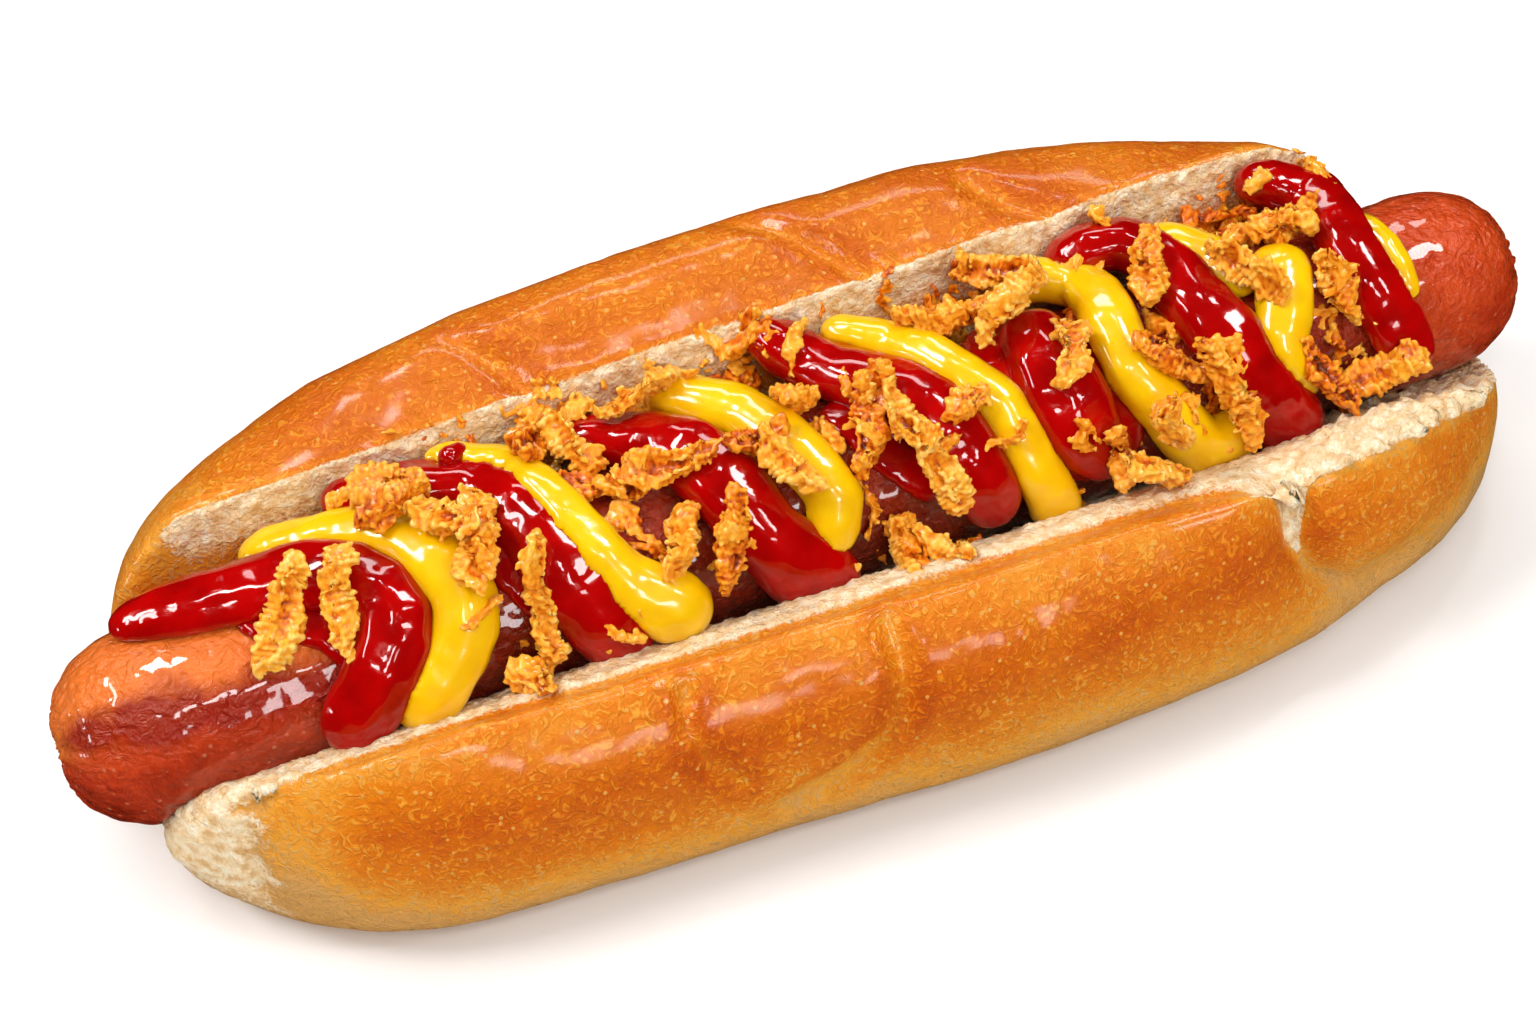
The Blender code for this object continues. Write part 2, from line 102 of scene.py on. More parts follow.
# Small bits of fried onion between the strips: x and y (mm), turn (degrees), length and width (mm)
ONION_BITS = (
    (-31, 11, -48, 6, 3.1), (-45, -12, -127, 7, 2.7), (-39, -12, -60, 4, 2.8), (-26, -5, -64, 7, 3.3),
    (-24, -9, -76, 4, 2.8), (-7, 11, -10, 7, 2.9), (-3, 11, -59, 5, 3.2), (-15, -14, 1, 5, 3.6),
    (-33, -18, -19, 4, 2.3), (1, -3, -72, 5, 2.8), (12, -11, 13, 6, 3.2), (1, -15, 39, 6, 2.9),
    (20, -12, 23, 6, 2.7), (17, 12, -12, 6, 3.2), (22, 12, -46, 5, 3.0), (39, 8, -12, 5, 2.5),
    (44, -3, -76, 5, 3.4), (43, -13, -38, 5, 2.7), (29, -13, 16, 4, 3.2), (27, -18, 36, 5, 2.4),
    (55, 13, 2, 5, 2.8), (55, 0, -50, 4, 2.7), (72, 12, -86, 8, 2.8), (65, -7, -152, 7, 3.2),
    (67, -8, -117, 4, 3.0), (69, -11, -15, 4, 2.8), (-19, 11, 4, 6, 3.6), (-27, 10.5, -19, 5, 2.9),
    (-6, 13, -6, 5, 2.4), (-43, -7, -76, 4, 3.0), (-26, -6, 9, 4, 2.8), (-17, -13, -29, 5, 2.8),
    (3, -11, -89, 5, 3.6), (3, -6, -76, 4, 2.8), (6, -16, -105, 6, 2.6), (-31, -18, 175, 5, 1.9),
    (59, 14, 0, 4, 2.6), (64, 12, 11, 4, 3.1), (66, -9, -37, 4, 2.8), (50, -9, -50, 4, 2.7),
    (29, -14, -41, 4, 2.9), (-32, 10.5, 70, 6, 2.8), (-29, 10, 120, 6, 3.0), (-24, 11, 10, 6, 2.8),
    (-19, 11, 60, 6, 2.6), (-15, 11, 150, 6, 2.8), (-5, 11.5, 80, 6, 2.8), (1, 9, 60, 6, 2.6),
    (5, 0, 100, 7, 2.6), (9, -5, 120, 7, 2.4), (25, 12.5, 30, 6, 2.8), (43, 13, 60, 6, 2.6),
    (58, 13.5, 20, 6, 2.8), (-55, 8, 40, 5, 2.6), (-21, -12, 100, 6, 2.4), (48, -17, 30, 5, 2.4),
)


class RollSettings(bpy.types.PropertyGroup):
    """What a user would change on the roll."""

    grain: bpy.props.FloatProperty(
        name="Grain", description="Size of the roll's mesh cells", default=0.9 * MM, unit="LENGTH"
    )
    wrinkle: bpy.props.FloatProperty(
        name="Wrinkle", description="Depth of the crust's fine wrinkles", default=0.16 * MM, unit="LENGTH"
    )
    pore: bpy.props.FloatProperty(
        name="Pore", description="Size of the holes in the crumb", default=1.3 * MM, unit="LENGTH"
    )


class SausageSettings(bpy.types.PropertyGroup):
    """What a user would change on the sausage."""

    pleats: bpy.props.IntProperty(name="Pleats", description="Pleats of the tied ends", default=17)
    pleat_depth: bpy.props.FloatProperty(
        name="Pleat depth", description="Depth of the pleats at the ends", default=0.7 * MM, unit="LENGTH"
    )


class SauceSettings(bpy.types.PropertyGroup):
    """What a user would change on the two sauces."""

    grain: bpy.props.FloatProperty(
        name="Grain", description="Size of the sauces' mesh cells", default=0.45 * MM, unit="LENGTH"
    )
    swell: bpy.props.FloatProperty(
        name="Swell", description="How far the sauce swells onto what it lies on", default=0.55 * MM, unit="LENGTH"
    )


class OnionSettings(bpy.types.PropertyGroup):
    """What a user would change on the fried onions."""

    grain: bpy.props.FloatProperty(
        name="Grain", description="Size of the batter's mesh cells", default=0.23 * MM, unit="LENGTH"
    )
    crumbs: bpy.props.IntProperty(name="Crumbs", description="Loose crumbs of batter", default=110)
    # The bed's bits are made darker as painted shade of the deep gaps
    bed: bpy.props.IntProperty(name="Bed", description="Dark bits tried deep in the gaps", default=150)
    seed: bpy.props.IntProperty(name="Seed", description="Start of the random lumps", default=4)


class StageSettings(bpy.types.PropertyGroup):
    """What a user would change on the stage."""

    brightness: bpy.props.FloatProperty(name="Brightness", description="Strength of the lamps", default=1.0)
    lens: bpy.props.FloatProperty(name="Lens", description="Focal length (mm)", default=70.0)


def linear(code):
    """Linear colour of an sRGB hex value."""
    parts = [int(code[i:i + 2], 16) / 255 for i in (1, 3, 5)]
    return (*(p / 12.92 if p <= 0.04045 else ((p + 0.055) / 1.055) ** 2.4 for p in parts), 1.0)


def per(size):
    """Texture scale that makes a feature this many millimetres large."""
    return 1 / (size * MM)


def add_node(tree, kind, inputs=(), stops=(), **settings):
    """Adds a shader node; an input is a constant or another node's output."""
    node = tree.nodes.new("ShaderNode" + kind)
    for name, value in settings.items():
        setattr(node, name, value)
    for socket, value in dict(inputs).items():
        if isinstance(value, bpy.types.NodeSocket):
            tree.links.new(value, node.inputs[socket])
        else:
            node.inputs[socket].default_value = value
    for number, (place, code) in enumerate(stops):
        ramp = node.color_ramp.elements
        element = ramp[number] if number < 2 else ramp.new(place)
        element.position = place
        element.color = linear(code)
    return node


def new_material(name, **constants):
    """Material with a Principled shader; returns it, its tree, the shader and the object coordinates."""
    made = bpy.data.materials.new(name)
    made.use_nodes = True
    tree = made.node_tree
    shader = tree.nodes["Principled BSDF"]
    for socket, value in constants.items():
        shader.inputs[socket.replace("_", " ")].default_value = value
    return made, tree, shader, add_node(tree, "TexCoord").outputs["Object"]


def activate(piece):
    """Makes the piece the only one selected, and the active one."""
    bpy.ops.object.select_all(action="DESELECT")
    piece.select_set(True)
    bpy.context.view_layer.objects.active = piece


def new_piece(name, mesh):
    """Object with this mesh, active."""
    piece = bpy.data.objects.new(name, mesh)
    bpy.context.scene.collection.objects.link(piece)
    activate(piece)
    return piece


def take(node, name):
    """Copy of a node's solid as a new piece, its loose triangles merged."""
    mesh = frame["nodes"][node].data.copy()
    mesh.materials.clear()
    piece = new_piece(name, mesh)
    bpy.ops.object.mode_set(mode="EDIT")
    bpy.ops.mesh.select_all(action="SELECT")
    bpy.ops.mesh.remove_doubles(threshold=0.01 * MM)
    bpy.ops.object.mode_set(mode="OBJECT")
    return piece


def shape(piece, kind, **settings):
    """Gives the piece a modifier and applies it."""
    activate(piece)
    modifier = piece.modifiers.new(kind.lower(), kind)
    for name, value in settings.items():
        setattr(modifier, name, value)
    bpy.ops.object.modifier_apply(modifier=modifier.name)


def places(piece):
    """The piece's points as rows of x, y and z."""
    found = np.empty(len(piece.data.vertices) * 3, dtype=np.float32)
    piece.data.vertices.foreach_get("co", found)
    return found.reshape(-1, 3).astype(float)


def weigh(piece, weights):
    """Vertex group that holds these weights."""
    group = piece.vertex_groups.new(name="weights")
    for index in np.flatnonzero(weights > 0.003):
        group.add([int(index)], float(min(weights[index], 1.0)), "REPLACE")
    return group.name


def store(piece, name, values):
    """Keeps one number for each point, for the material."""
    kept = piece.data.attributes.new(name, "FLOAT", "POINT")
    kept.data.foreach_set("value", np.asarray(values, dtype=np.float32))


def texture(kind, size, **settings):
    """Procedural texture whose features are this large."""
    made = bpy.data.textures.new(kind.lower(), kind)
    made.noise_scale = size
    for name, value in settings.items():
        setattr(made, name, value)
    return made


def push(piece, amount, weights=None, pattern=None, middle=0.5):
    """Moves the surface out by the amount, times the weights, along the pattern if there is one."""
    settings = {"strength": amount, "mid_level": middle if pattern else 0.0, "texture": pattern}
    if weights is not None:
        settings["vertex_group"] = weigh(piece, weights)
    shape(piece, "DISPLACE", **settings)
    piece.vertex_groups.clear()


def smooth(piece, times, weights=None):
    """Evens the surface out."""
    settings = {"factor": 0.5, "iterations": times}
    if weights is not None:
        settings["vertex_group"] = weigh(piece, weights)
    shape(piece, "SMOOTH", **settings)
    piece.vertex_groups.clear()


def rest_on_floor(piece):
    """Flattens what would go through the floor."""
    at = places(piece)
    at[:, 2] = np.maximum(at[:, 2], 0)
    piece.data.vertices.foreach_set("co", at.astype(np.float32).ravel())
    piece.data.update()


def complete(piece, material, slot, *nodes):
    """Gives the piece its material, hangs it on the body and hides the solids it stands for."""
    piece.data.materials.clear()
    piece.data.materials.append(material)
    piece.data.shade_smooth()
    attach(piece, BODY)
    if nodes:
        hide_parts(*nodes)


def line_distance(points, start, end):
    """Distance of the points from the line between two places; a place may be a row for each point."""
    along = end - start
    share = ((points - start) * along).sum(-1) / np.maximum((along * along).sum(-1), 1e-9)
    nearest = start + along * np.clip(share, 0, 1)[..., None]
    return np.linalg.norm(points - nearest, axis=-1)


def path_distance(points, path):
    """Distance of the points (mm) from a path of straight stretches."""
    ends = [np.array(place, dtype=float) for place in path]
    return np.min([line_distance(points, one, two) for one, two in zip(ends, ends[1:])], axis=0)


def channel_distance(points):
    """Distance of the points (mm) from the walls of the channel, in the cross-section they lie in."""
    x = points[:, 0]
    section = points[:, 1:]
    centre = np.stack([SAUSAGE_LINE[0] + SAUSAGE_LINE[1] * x, np.full_like(x, SAUSAGE_LINE[2])], -1)
    found = [np.abs(np.linalg.norm(section - centre, axis=-1) - CHANNEL_RADIUS)]
    for turn, (place, swing, height) in zip(CHANNEL_TURNS, (FRONT_RIM, BACK_RIM)):
        low = centre + CHANNEL_RADIUS * np.array([sin(radians(turn)), cos(radians(turn))])
        rim = np.stack([place + swing * x, np.full_like(x, height)], -1)
        found.append(line_distance(section, low, rim))
    found[0][points[:, 2] > SAUSAGE_LINE[2]] = 1e3
    return np.min(found, axis=0)


def near(value, place, reach):
    """Bell-shaped weight round a place."""
    return np.exp(-(((value - place) / reach) ** 2))


def steps(value, start, end):
    """Smooth rise from 0 at the start to 1 at the end."""
    held = np.clip((value - start) / (end - start), 0, 1)
    return held * held * (3 - 2 * held)


def baked_roll():
    """Wheat roll, glazed and baked: a satin golden crust, paler low down and at the cut, over soft open crumb."""
    made, tree, shader, place = new_material(
        "Baked wheat roll", Subsurface_Weight=0.1, Subsurface_Scale=1.0 * MM, IOR=1.45,
        Specular_Tint=linear("#ffb878"), Coat_Weight=0.3, Coat_Roughness=0.14
    )
    crumb = add_node(tree, "Attribute", attribute_name="crumb").outputs["Fac"]
    baked = add_node(tree, "Attribute", attribute_name="baked").outputs["Fac"]
    blotch = add_node(tree, "TexNoise", {"Vector": place, "Scale": per(11), "Detail": 3.0}).outputs["Fac"]
    fine = add_node(tree, "TexNoise", {"Vector": place, "Scale": per(1.4), "Detail": 5.0}).outputs["Fac"]
    grain = add_node(tree, "TexNoise", {"Vector": place, "Scale": per(0.5), "Detail": 3.0}).outputs["Fac"]
    # Crepe of the glazed skin: curled ridges under a millimetre long
    crepe = add_node(
        tree, "TexNoise", {"Vector": place, "Scale": per(1.5), "Detail": 2.0, "Distortion": 2.4}
    ).outputs["Fac"]
    ridges = add_node(
        tree, "MapRange", {"Value": crepe, "From Min": 0.53, "From Max": 0.66}, interpolation_type="SMOOTHSTEP"
    ).outputs["Result"]
    dots = add_node(tree, "TexVoronoi", {"Vector": place, "Scale": per(1.7)}).outputs["Distance"]
    specks = add_node(
        tree, "MapRange", {"Value": dots, "From Min": 0.09, "From Max": 0.17, "To Min": 1.0, "To Max": 0.0}
    ).outputs["Result"]
    # Browning by the oven: how baked the place is, with blotches, and paler ridges and specks; the baked attribute
    # also holds painted shade beside the creases
    level = add_node(tree, "Math", {0: blotch, 1: 0.34, 2: baked}, operation="MULTIPLY_ADD").outputs[0]
    level = add_node(tree, "Math", {0: fine, 1: 0.2, 2: level}, operation="MULTIPLY_ADD").outputs[0]
    level = add_node(tree, "Math", {0: ridges, 1: -0.19, 2: level}, operation="MULTIPLY_ADD").outputs[0]
    level = add_node(tree, "Math", {0: specks, 1: -0.6, 2: level}, operation="MULTIPLY_ADD").outputs[0]
    brown = add_node(tree, "Math", {0: level, 1: 0.07}, operation="SUBTRACT").outputs[0]
    crust = add_node(tree, "ValToRGB", {"Fac": brown}, stops=(
        (0.0, "#d39c54"), (1.0, "#6a2202"), (0.18, "#e4992e"), (0.36, "#d87409"), (0.56, "#c05102"),
        (0.76, "#9c3b01"),
    )).outputs["Color"]
    soft = add_node(tree, "ValToRGB", {"Fac": fine}, stops=(
        (0.32, "#e2b67e"), (0.66, "#fdeecf"), (0.47, "#f4d4a4"),
    )).outputs["Color"]
    edge = add_node(tree, "Math", {0: grain, 1: 0.5, 2: crumb}, operation="MULTIPLY_ADD").outputs[0]
    mask = add_node(
        tree, "MapRange", {"Value": edge, "From Min": 0.16, "From Max": 0.36}, interpolation_type="SMOOTHSTEP"
    ).outputs["Result"]
    colour = add_node(tree, "Mix", {0: mask, 6: crust, 7: soft}, data_type="RGBA").outputs[2]
    tree.links.new(colour, shader.inputs["Base Color"])
    gloss = add_node(
        tree, "MapRange", {"Value": fine, "From Min": 0.3, "From Max": 0.7, "To Min": 0.24, "To Max": 0.44}
    ).outputs["Result"]
    rough = add_node(tree, "Mix", {0: mask, 2: gloss, 3: 0.95}).outputs[0]
    tree.links.new(rough, shader.inputs["Roughness"])
    skin = add_node(tree, "Math", {0: crepe, 1: 1.3, 2: fine}, operation="MULTIPLY_ADD").outputs[0]
    pores = add_node(tree, "Math", {0: grain, 1: 2.0, 2: crepe}, operation="MULTIPLY_ADD").outputs[0]
    height = add_node(tree, "Mix", {0: mask, 2: skin, 3: pores}).outputs[0]
    bump = add_node(tree, "Bump", {"Height": height, "Strength": 0.85, "Distance": 0.4 * MM})
    tree.links.new(bump.outputs["Normal"], shader.inputs["Normal"])
    return made


class HOTDOG_OT_roll(bpy.types.Operator):
    """Model the split roll, with creased crust and porous crumb"""

    bl_idname = "hotdog.roll"
    bl_label = "Split roll"

    def execute(self, context):
        sizes = context.scene.hotdog_roll
        roll = take("bun", "split_roll")
        shape(roll, "REMESH", mode="VOXEL", voxel_size=sizes.grain)
        at = places(roll) / MM
        crumb = self.cut(at)
        in_crumb = steps(crumb, -0.4, 0.3)
        smooth(roll, 14, 1 - in_crumb)
        smooth(roll, 3)
        crumb = self.split_crumb(roll, crumb, in_crumb)
        at = places(roll) / MM
        in_crumb = steps(crumb, -0.3, 0.3)
        self.crease(roll, at)
        self.wrinkle(roll, at, in_crumb, sizes)
        rest_on_floor(roll)
        store(roll, "baked", self.baking(at, crumb))
        complete(roll, baked_roll(), "baked_roll", "bun")
        return {"FINISHED"}

    def cut(self, at):
        """How far (mm) each point lies inside the bare crumb: the channel, the torn hinge and the notch."""
        x, y, z = at.T
        ragged = 1.0 * np.sin(0.9 * z + 0.5) + 0.7 * np.sin(2.1 * z + 0.4 * y)
        torn = np.minimum(-77.5 + ragged - x, np.minimum(-6 - y, 0.8 * (z - 9.5) + 0.5 * ragged))
        notch = 0.2 * (z - 19) - path_distance(at, NOTCH)
        curled = 1.2 * steps(-x, 74, 85) * steps(y, -4, 4)
        rim = FRONT_RIM[0] + FRONT_RIM[1] * x
        curled += 1.6 * near(y, rim, 3.4) * steps(-x, -46, -40) * steps(z, 27, 29)
        crumb = np.maximum(0.35 - channel_distance(at) - curled, np.clip(0.08 * torn, -1, 0.35))
        return np.maximum(crumb, np.clip(notch, -1, 0.35))

    def split_crumb(self, roll, crumb, in_crumb):
        """Makes the mesh of the crumb twice as fine, for its pores."""
        store(roll, "crumb", crumb)
        mesh = bmesh.new()
        mesh.from_mesh(roll.data)
        mesh.verts.ensure_lookup_table()
        seen = {v.index for v in mesh.verts if in_crumb[v.index] > 0.4 and v.co.z > SAUSAGE_LINE[2] * MM}
        edges = [e for e in mesh.edges if e.verts[0].index in seen and e.verts[1].index in seen]
        bmesh.ops.subdivide_edges(mesh, edges=edges, cuts=1, use_grid_fill=True)
        bmesh.ops.triangulate(mesh, faces=[f for f in mesh.faces if len(f.verts) > 4])
        mesh.to_mesh(roll.data)
        mesh.free()
        kept = np.empty(len(roll.data.vertices), dtype=np.float32)
        roll.data.attributes["crumb"].data.foreach_get("value", kept)
        return kept.astype(float)

    def crease(self, roll, at):
        """Presses the creases and the notch into the crust, and fills out the lobe beyond the notch."""
        for path, width, depth in CREASES:
            push(roll, -depth * MM, near(path_distance(at, path), 0, width))
        lobe = near(at[:, 0], 66, 11) * near(at[:, 2], 21, 8) * (at[:, 1] < -10)
        push(roll, 1.2 * MM, lobe)

    def wrinkle(self, roll, at, in_crumb, sizes):
        """Gives the crust its fine unevenness and the crumb its pores, and swells the crumb to the sausage."""
        crust = 1 - in_crumb
        push(roll, 1.2 * MM, crust, texture("CLOUDS", 20 * MM))
        push(roll, sizes.wrinkle * 1.6, crust, texture("CLOUDS", 3.5 * MM, noise_depth=2))
        patch = near(at[:, 0], 10, 13) * near(at[:, 2], 26, 4.5) * (at[:, 1] < 0)
        push(roll, 0.55 * MM, crust * patch, texture("CLOUDS", 2.4 * MM, noise_depth=3))
        rim = FRONT_RIM[0] + FRONT_RIM[1] * at[:, 0]
        clear = 1 - near(path_distance(at, NOTCH), 0, 4)
        push(roll, 2.4 * MM, clear * in_crumb * near(at[:, 1] - rim, 6.8, 4.5))
        push(roll, 0.8 * MM, clear * in_crumb, texture("CLOUDS", 2.6 * MM, noise_depth=2))
        push(roll, -0.7 * MM, clear * in_crumb, texture("VORONOI", sizes.pore), 0.4)
        coarse = clear * in_crumb * steps(at[:, 0], 52, 60) * (at[:, 1] < 0)
        push(roll, -2.0 * MM, coarse, texture("VORONOI", 2.2 * MM), 0.5)

    def baking(self, at, crumb):
        """How brown the crust is: most on the crown, least low down, at the cut and at the front left; with painted
        shade as a darker band beside the creases.
        """
        x, y, z = at.T
        front = np.interp(z, (4, 9, 12, 15, 19, 23, 27, 30), (0.08, 0.26, 0.38, 0.48, 0.6, 0.7, 0.63, 0.48))
        back = np.interp(z, (4, 9, 14, 20, 30, 42), (0.08, 0.28, 0.46, 0.58, 0.66, 0.62))
        behind = steps(y, -8, 8)
        level = front + (back - front) * behind
        level -= (0.36 - 0.1 * behind) * steps(-x, 54, 90)
        level -= (0.07 + 0.08 * behind) * steps(x, 58, 84)
        level -= 0.28 * steps(crumb, -6, -1.5) + 0.2 * steps(crumb, -1.8, -0.1)
        level -= 0.09 * steps(x, 52, 58) * (1 - behind)
        level -= 0.25 * near(path_distance(at, CREASES[1][0]), 0, 1.4)
        # Creases: paler stretched crust in the crease itself, and a darker band beside it, which is painted shade
        for path, width, _ in CREASES[2:]:
            away = path_distance(at, path)
            level += 0.08 * near(away, 1.2 + width, 1.2) - 0.1 * near(away, 0, 0.4 + 0.3 * width)
        return level


def smoked_skin():
    """Smoked sausage in its skin: tight, greasy gloss over mottled brick red, darker where glazed; lighter on top
    as painted light, darker in the pleats and along the middle as painted shade.
    """
    made, tree, shader, place = new_material(
        "Smoked sausage skin", Subsurface_Weight=0.1, Subsurface_Scale=1.2 * MM, IOR=1.42, Coat_Weight=0.7,
        Coat_Roughness=0.05, Specular_Tint=linear("#ffd8c4")
    )
    tone_and_shading = add_node(tree, "Attribute", attribute_name="tone_and_shading").outputs["Fac"]
    glaze = add_node(tree, "Attribute", attribute_name="glaze").outputs["Fac"]
    blotch = add_node(tree, "TexNoise", {"Vector": place, "Scale": per(5), "Detail": 4.0}).outputs["Fac"]
    fine = add_node(tree, "TexNoise", {"Vector": place, "Scale": per(0.9), "Detail": 4.0}).outputs["Fac"]
    crepe = add_node(
        tree, "TexNoise", {"Vector": place, "Scale": per(2.2), "Detail": 3.0, "Distortion": 1.6}
    ).outputs["Fac"]
    dots = add_node(tree, "TexVoronoi", {"Vector": place, "Scale": per(1.8)}).outputs["Distance"]
    flecks = add_node(
        tree, "MapRange", {"Value": dots, "From Min": 0.08, "From Max": 0.18, "To Min": 0.3, "To Max": 0.0}
    ).outputs["Result"]
    # This attribute holds the skin's own tone with painted light on top and painted shade in the pleats and the
    # middle
    level = add_node(tree, "Math", {0: blotch, 1: 0.5, 2: tone_and_shading}, operation="MULTIPLY_ADD").outputs[0]
    level = add_node(tree, "Math", {0: fine, 1: 0.2, 2: level}, operation="MULTIPLY_ADD").outputs[0]
    skin = add_node(tree, "ValToRGB", {"Fac": level}, stops=(
        (0.1, "#4a0b04"), (1.0, "#e8742a"), (0.3, "#7c1c08"), (0.52, "#b0300e"), (0.74, "#d24a16"),
    )).outputs["Color"]
    pale = add_node(tree, "Mix", {0: flecks, 6: skin, 7: linear("#eba274")}, data_type="RGBA").outputs[2]
    patchy = add_node(tree, "Math", {0: glaze, 1: 0.75, 2: blotch}, operation="MULTIPLY_ADD").outputs[0]
    cover = add_node(
        tree, "MapRange", {"Value": patchy, "From Min": 0.62, "From Max": 1.15, "To Max": 0.92}
    ).outputs["Result"]
    colour = add_node(tree, "Mix", {0: cover, 6: pale, 7: linear("#8c0602")}, data_type="RGBA").outputs[2]
    tree.links.new(colour, shader.inputs["Base Color"])
    shine = add_node(
        tree, "MapRange", {"Value": blotch, "From Min": 0.3, "From Max": 0.7, "To Min": 0.16, "To Max": 0.32}
    ).outputs["Result"]
    tree.links.new(shine, shader.inputs["Roughness"])
    height = add_node(tree, "Math", {0: fine, 1: 0.5, 2: crepe}, operation="MULTIPLY_ADD").outputs[0]
    bump = add_node(tree, "Bump", {"Height": height, "Strength": 0.9, "Distance": 0.9 * MM})
    tree.links.new(bump.outputs["Normal"], shader.inputs["Normal"])
    return made


def sausage_turn(at):
    """Turn of the points (mm) round the sausage, from its top towards the back."""
    return np.arctan2(at[:, 1] - SAUSAGE_LINE[0] - SAUSAGE_LINE[1] * at[:, 0], at[:, 2] - SAUSAGE_LINE[2])


class HOTDOG_OT_sausage(bpy.types.Operator):
    """Model the sausage, pleated at its tied ends"""

    bl_idname = "hotdog.sausage"
    bl_label = "Sausage"

    def execute(self, context):
        sizes = context.scene.hotdog_sausage
        sausage = take("sausage", "smoked_sausage")
        shape(sausage, "REMESH", mode="VOXEL", voxel_size=0.45 * MM)
        smooth(sausage, 16)
        low, high = (np.array(corner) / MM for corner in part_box("sausage"))
        at = places(sausage) / MM
        turn = sausage_turn(at)
        out = np.hypot(at[:, 1] - SAUSAGE_LINE[0] - SAUSAGE_LINE[1] * at[:, 0], at[:, 2] - SAUSAGE_LINE[2])
        to_left = at[:, 0] - low[0]
        to_right = high[0] - at[:, 0]
        end = np.minimum(to_left, to_right) < 12
        gather = end * steps(-out, -10, -2.5) * steps(out, 0.7, 2.0)
        ripple = 0.5 + 0.5 * np.sin(sizes.pleats * turn + 1.7 * np.sin(3 * turn))
        push(sausage, 0.35 * MM)
        push(sausage, -sizes.pleat_depth, ripple * gather)
        push(sausage, -1.0 * MM, end * near(out, 0, 2.2))
        push(sausage, 0.8 * MM, None, texture("CLOUDS", 18 * MM))
        push(sausage, 0.32 * MM, None, texture("CLOUDS", 3.6 * MM, noise_depth=2))
        creased = end * steps(-out, -11.2, -7) * steps(out, 3, 5)
        push(sausage, -0.22 * MM, creased * (0.5 + 0.5 * np.sin(41 * turn + 0.6 * out + 2 * np.sin(5 * turn))))
        upward = np.cos(turn - 0.1)
        left = steps(-at[:, 0], 52, 66)
        right = steps(at[:, 0], 64, 76)
        # Own tone, lighter towards the ends, plus painted light: lighter on top, most of all at the left end
        tone_and_shading = 0.02 + 0.12 * steps(upward, -0.3, 0.8) + 0.16 * right + 0.06 * left + 0.56 * left * steps(upward, 0.3, 1.0)
        # Pleated ends a little lighter; painted shade: darker in the pleats' grooves and along the middle, where
        # the sausage shows only between the strokes
        tone_and_shading += 0.1 * gather - 0.1 * ripple * gather - 0.14 * (1 - left) * (1 - right)
        band = near(turn, -0.72 - 0.01 * (at[:, 0] + 75), 0.3) * steps(-at[:, 0], 52, 62)
        store(sausage, "tone_and_shading", tone_and_shading)
        store(sausage, "glaze", band * (1 - gather))
        complete(sausage, smoked_skin(), "smoked_sausage", "sausage")
        return {"FINISHED"}


def tomato_ketchup():
    """Tomato ketchup, squeezed on: a deep wet red with a soft skin and long highlights."""
    made, tree, shader, place = new_material(
        "Tomato ketchup", Subsurface_Weight=0.08, Subsurface_Scale=0.6 * MM, IOR=1.42, Roughness=0.14,
        Specular_IOR_Level=0.12, Specular_Tint=linear("#ffc4bc"), Coat_Weight=0.8, Coat_Roughness=0.04
    )
    soft = add_node(tree, "TexNoise", {"Vector": place, "Scale": per(4.5), "Detail": 2.0}).outputs["Fac"]
    fine = add_node(tree, "TexNoise", {"Vector": place, "Scale": per(1.1), "Detail": 2.0}).outputs["Fac"]
    colour = add_node(tree, "ValToRGB", {"Fac": soft}, stops=(
        (0.3, "#940202"), (0.7, "#b20303"),
    )).outputs["Color"]
    tree.links.new(colour, shader.inputs["Base Color"])
    height = add_node(tree, "Math", {0: fine, 1: 0.12, 2: soft}, operation="MULTIPLY_ADD").outputs[0]
    bump = add_node(tree, "Bump", {"Height": height, "Strength": 0.8, "Distance": 0.5 * MM})
    tree.links.new(bump.outputs["Normal"], shader.inputs["Normal"])
    return made


def yellow_mustard():
    """Yellow mustard, squeezed on: an opaque warm yellow with a smooth wet skin."""
    made, tree, shader, place = new_material(
        "Yellow mustard", Subsurface_Weight=0.2, Subsurface_Scale=1.2 * MM, IOR=1.42, Roughness=0.2,
        Subsurface_Radius=(1.0, 0.55, 0.08), Coat_Weight=0.7, Coat_Roughness=0.06
    )
    soft = add_node(tree, "TexNoise", {"Vector": place, "Scale": per(4.5), "Detail": 2.0}).outputs["Fac"]
    fine = add_node(tree, "TexNoise", {"Vector": place, "Scale": per(1.1), "Detail": 2.0}).outputs["Fac"]
    colour = add_node(tree, "ValToRGB", {"Fac": soft}, stops=(
        (0.3, "#f0b602"), (0.7, "#f8ca04"),
    )).outputs["Color"]
    tree.links.new(colour, shader.inputs["Base Color"])
    height = add_node(tree, "Math", {0: fine, 1: 0.12, 2: soft}, operation="MULTIPLY_ADD").outputs[0]
    bump = add_node(tree, "Bump", {"Height": height, "Strength": 0.5, "Distance": 0.35 * MM})
    tree.links.new(bump.outputs["Normal"], shader.inputs["Normal"])
    return made


def squeeze_strokes(context, nodes, material, slot):
    """Rounds the strokes and lets them swell onto what they lie on."""
    sizes = context.scene.hotdog_sauce
    for node in nodes:
        stroke = take(node, node + "_stroke")
        shape(stroke, "REMESH", mode="VOXEL", voxel_size=sizes.grain)
        smooth(stroke, 12)
        push(stroke, sizes.swell - SLIM.get(node, 0) * MM)
        push(stroke, 1.1 * MM, None, texture("CLOUDS", 8 * MM))
        smooth(stroke, 4)
        complete(stroke, material, slot, node)


